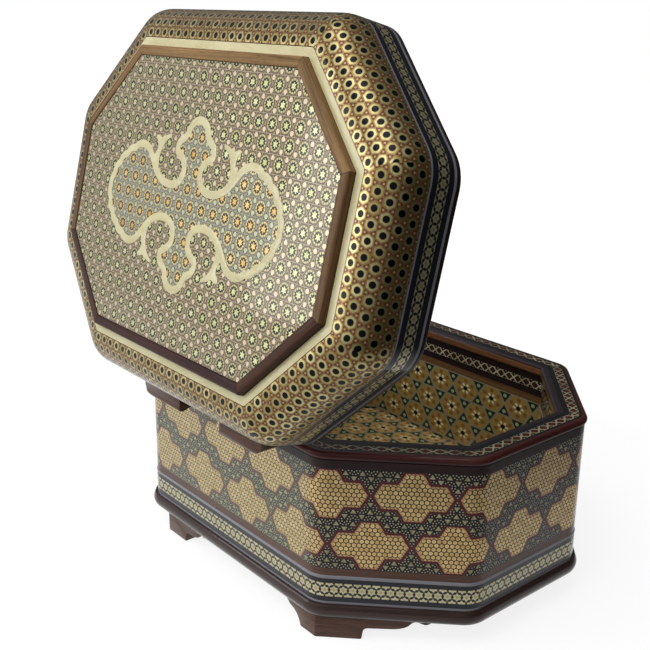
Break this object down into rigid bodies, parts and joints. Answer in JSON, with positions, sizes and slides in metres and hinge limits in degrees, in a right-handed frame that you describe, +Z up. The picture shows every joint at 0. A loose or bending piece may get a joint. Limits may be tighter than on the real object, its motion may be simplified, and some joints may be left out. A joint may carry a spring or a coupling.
{
  "type": "jewelry box",
  "caption": "Octagonal wooden jewelry box with marquetry walls, scrolled feet and a domed hinged lid with a raised framed panel.",
  "frame": {"origin": "centre of the footprint of the box with its lid open, on the ground", "axes": "+X along the long sides and the hinge line, +Y from the front to the hinged back, +Z up"},
  "size_m": [0.302, 0.2628, 0.339],
  "materials": {
    "walnut": "lacquered walnut, fine grain",
    "board_wood": "plain sawn board, hidden",
    "dark_wood": "lacquered dark purple brown wood",
    "brown_wood": "lacquered mid brown wood",
    "red_wood": "lacquered reddish dark wood",
    "star_khatam": "star marquetry band between black lines, lacquered",
    "wall_khatam": "marquetry of gold lobed cartouches on a dark starred ground, lacquered",
    "cross_khatam": "marquetry strip of cream crosses, lacquered",
    "shoulder_khatam": "marquetry of black hexagons in gold rings, lacquered",
    "panel_khatam": "marquetry of pale stars in reddish brown triangles, lacquered",
    "field_khatam": "marquetry of orange stars on a pale blue grey ground, lacquered",
    "bone": "polished bone",
    "lining_khatam": "marquetry of gold flowers on a grey cream lattice, lacquered",
    "lining_border": "brown wood strips either side of a marquetry strip, lacquered",
    "lid_lining": "plain lacquered veneer",
    "brass": "polished brass"
  },
  "bodies": {
    "box": {"foot_back_left": "walnut", "foot_back_right": "walnut", "foot_front_left": "walnut", "foot_front_right": "walnut", "base_moulding": "walnut", "wall_board_back_right": "board_wood", "wall_board_back": "board_wood", "wall_board_back_left": "board_wood", "wall_board_left": "board_wood", "wall_board_front_left": "board_wood", "wall_board_front": "board_wood", "wall_board_front_right": "board_wood", "wall_board_right": "board_wood", "inlay_band": "star_khatam", "lower_strip": "brown_wood", "wall_khatam": "wall_khatam", "upper_strip": "dark_wood", "bottom_board": "board_wood", "floor_lining": "lining_khatam", "wall_lining": "lining_khatam", "lining_border": "lining_border", "rim_frame": "red_wood", "rim_inlay": "cross_khatam", "lid_stop_left": "walnut", "lid_stop_right": "walnut", "hinge_left_base_leaf": "brass", "hinge_left_pin": "brass", "hinge_left_screw_1_base": "brass", "hinge_left_screw_2_base": "brass", "hinge_right_base_leaf": "brass", "hinge_right_pin": "brass", "hinge_right_screw_1_base": "brass", "hinge_right_screw_2_base": "brass"},
    "lid": {"lid_rim": "dark_wood", "lid_board_back_right": "board_wood", "lid_board_back": "board_wood", "lid_board_back_left": "board_wood", "lid_board_left": "board_wood", "lid_board_front_left": "board_wood", "lid_board_front": "board_wood", "lid_board_front_right": "board_wood", "lid_board_right": "board_wood", "lid_inlay_band": "star_khatam", "lid_shoulder": "shoulder_khatam", "lid_top_board": "board_wood", "bone_border": "bone", "raised_frame": "walnut", "cartouche_border": "bone", "cartouche_field": "field_khatam", "lid_panel": "panel_khatam", "lid_lining_sides": "lid_lining", "lid_lining_top": "lid_lining", "hinge_left_lid_leaf": "brass", "hinge_left_screw_1_lid": "brass", "hinge_left_screw_2_lid": "brass", "hinge_right_lid_leaf": "brass", "hinge_right_screw_1_lid": "brass", "hinge_right_screw_2_lid": "brass"}
  },
  "joints": [
    {"name": "lid_hinge", "type": "hinge", "parent": "box", "child": "lid", "pos_m": [0, 0.09281, 0.1162], "axis": [1, 0, 0], "range_deg": [0, 76]}
  ]
}
